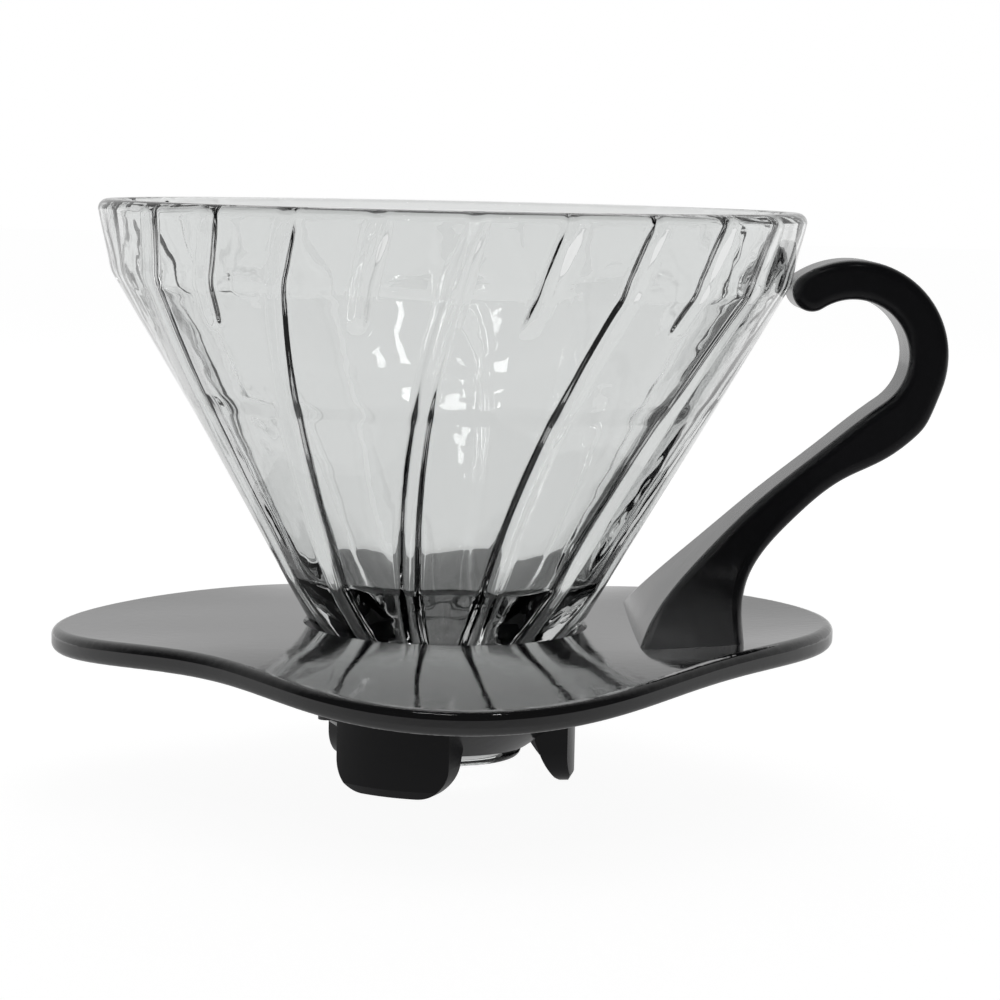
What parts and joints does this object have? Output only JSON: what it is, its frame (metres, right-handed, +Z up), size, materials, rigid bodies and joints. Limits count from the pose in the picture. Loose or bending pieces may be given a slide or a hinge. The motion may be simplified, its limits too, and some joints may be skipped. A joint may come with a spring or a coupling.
{
  "type": "pour over dripper",
  "caption": "Ribbed clear glass brewing cone clamped in a black saucer with a side handle; a screw ring with tabs holds it over a cup.",
  "frame": {"origin": "on the brewing axis, in the plane that the three tab ends stand on", "axes": "+Z up the brewing axis, from the outlet to the rim; +X towards the handle; +Y towards the back lobe of the saucer"},
  "size_m": [0.127, 0.112, 0.0821],
  "materials": {
    "clear_glass": "clear pressed heat-resistant glass, polished",
    "saucer_black": "high-gloss moulded plastic",
    "handle_black": "gloss moulded plastic",
    "ring_black": "gloss moulded plastic",
    "gasket_silicone": "smooth food-grade silicone",
    "packing_silicone": "smooth food-grade silicone"
  },
  "bodies": {
    "base": {"saucer": "saucer_black", "handle": "handle_black", "seat_gasket": "gasket_silicone"},
    "glass": {"glass_cone": "clear_glass"},
    "packing": {"neck_packing": "packing_silicone"},
    "ring": {"lock_ring": "ring_black"}
  },
  "joints": [
    {"name": "glass_lift", "type": "slide", "parent": "base", "child": "glass", "axis": [0, 0, 1], "range_m": [0, 0.04]},
    {"name": "clamp_travel", "type": "slide", "parent": "base", "child": "packing", "axis": [0, 0, -1], "range_m": [0, 0.0075]},
    {"name": "lock_ring_turn", "type": "hinge", "parent": "packing", "child": "ring", "pos_m": [0, 0, 0.0092], "axis": [0, 0, -1], "range_deg": [0, 1080]}
  ],
  "couplings": [
    {"joint": "lock_ring_turn", "follows": "clamp_travel", "rad_per_m": 2513.3}
  ]
}
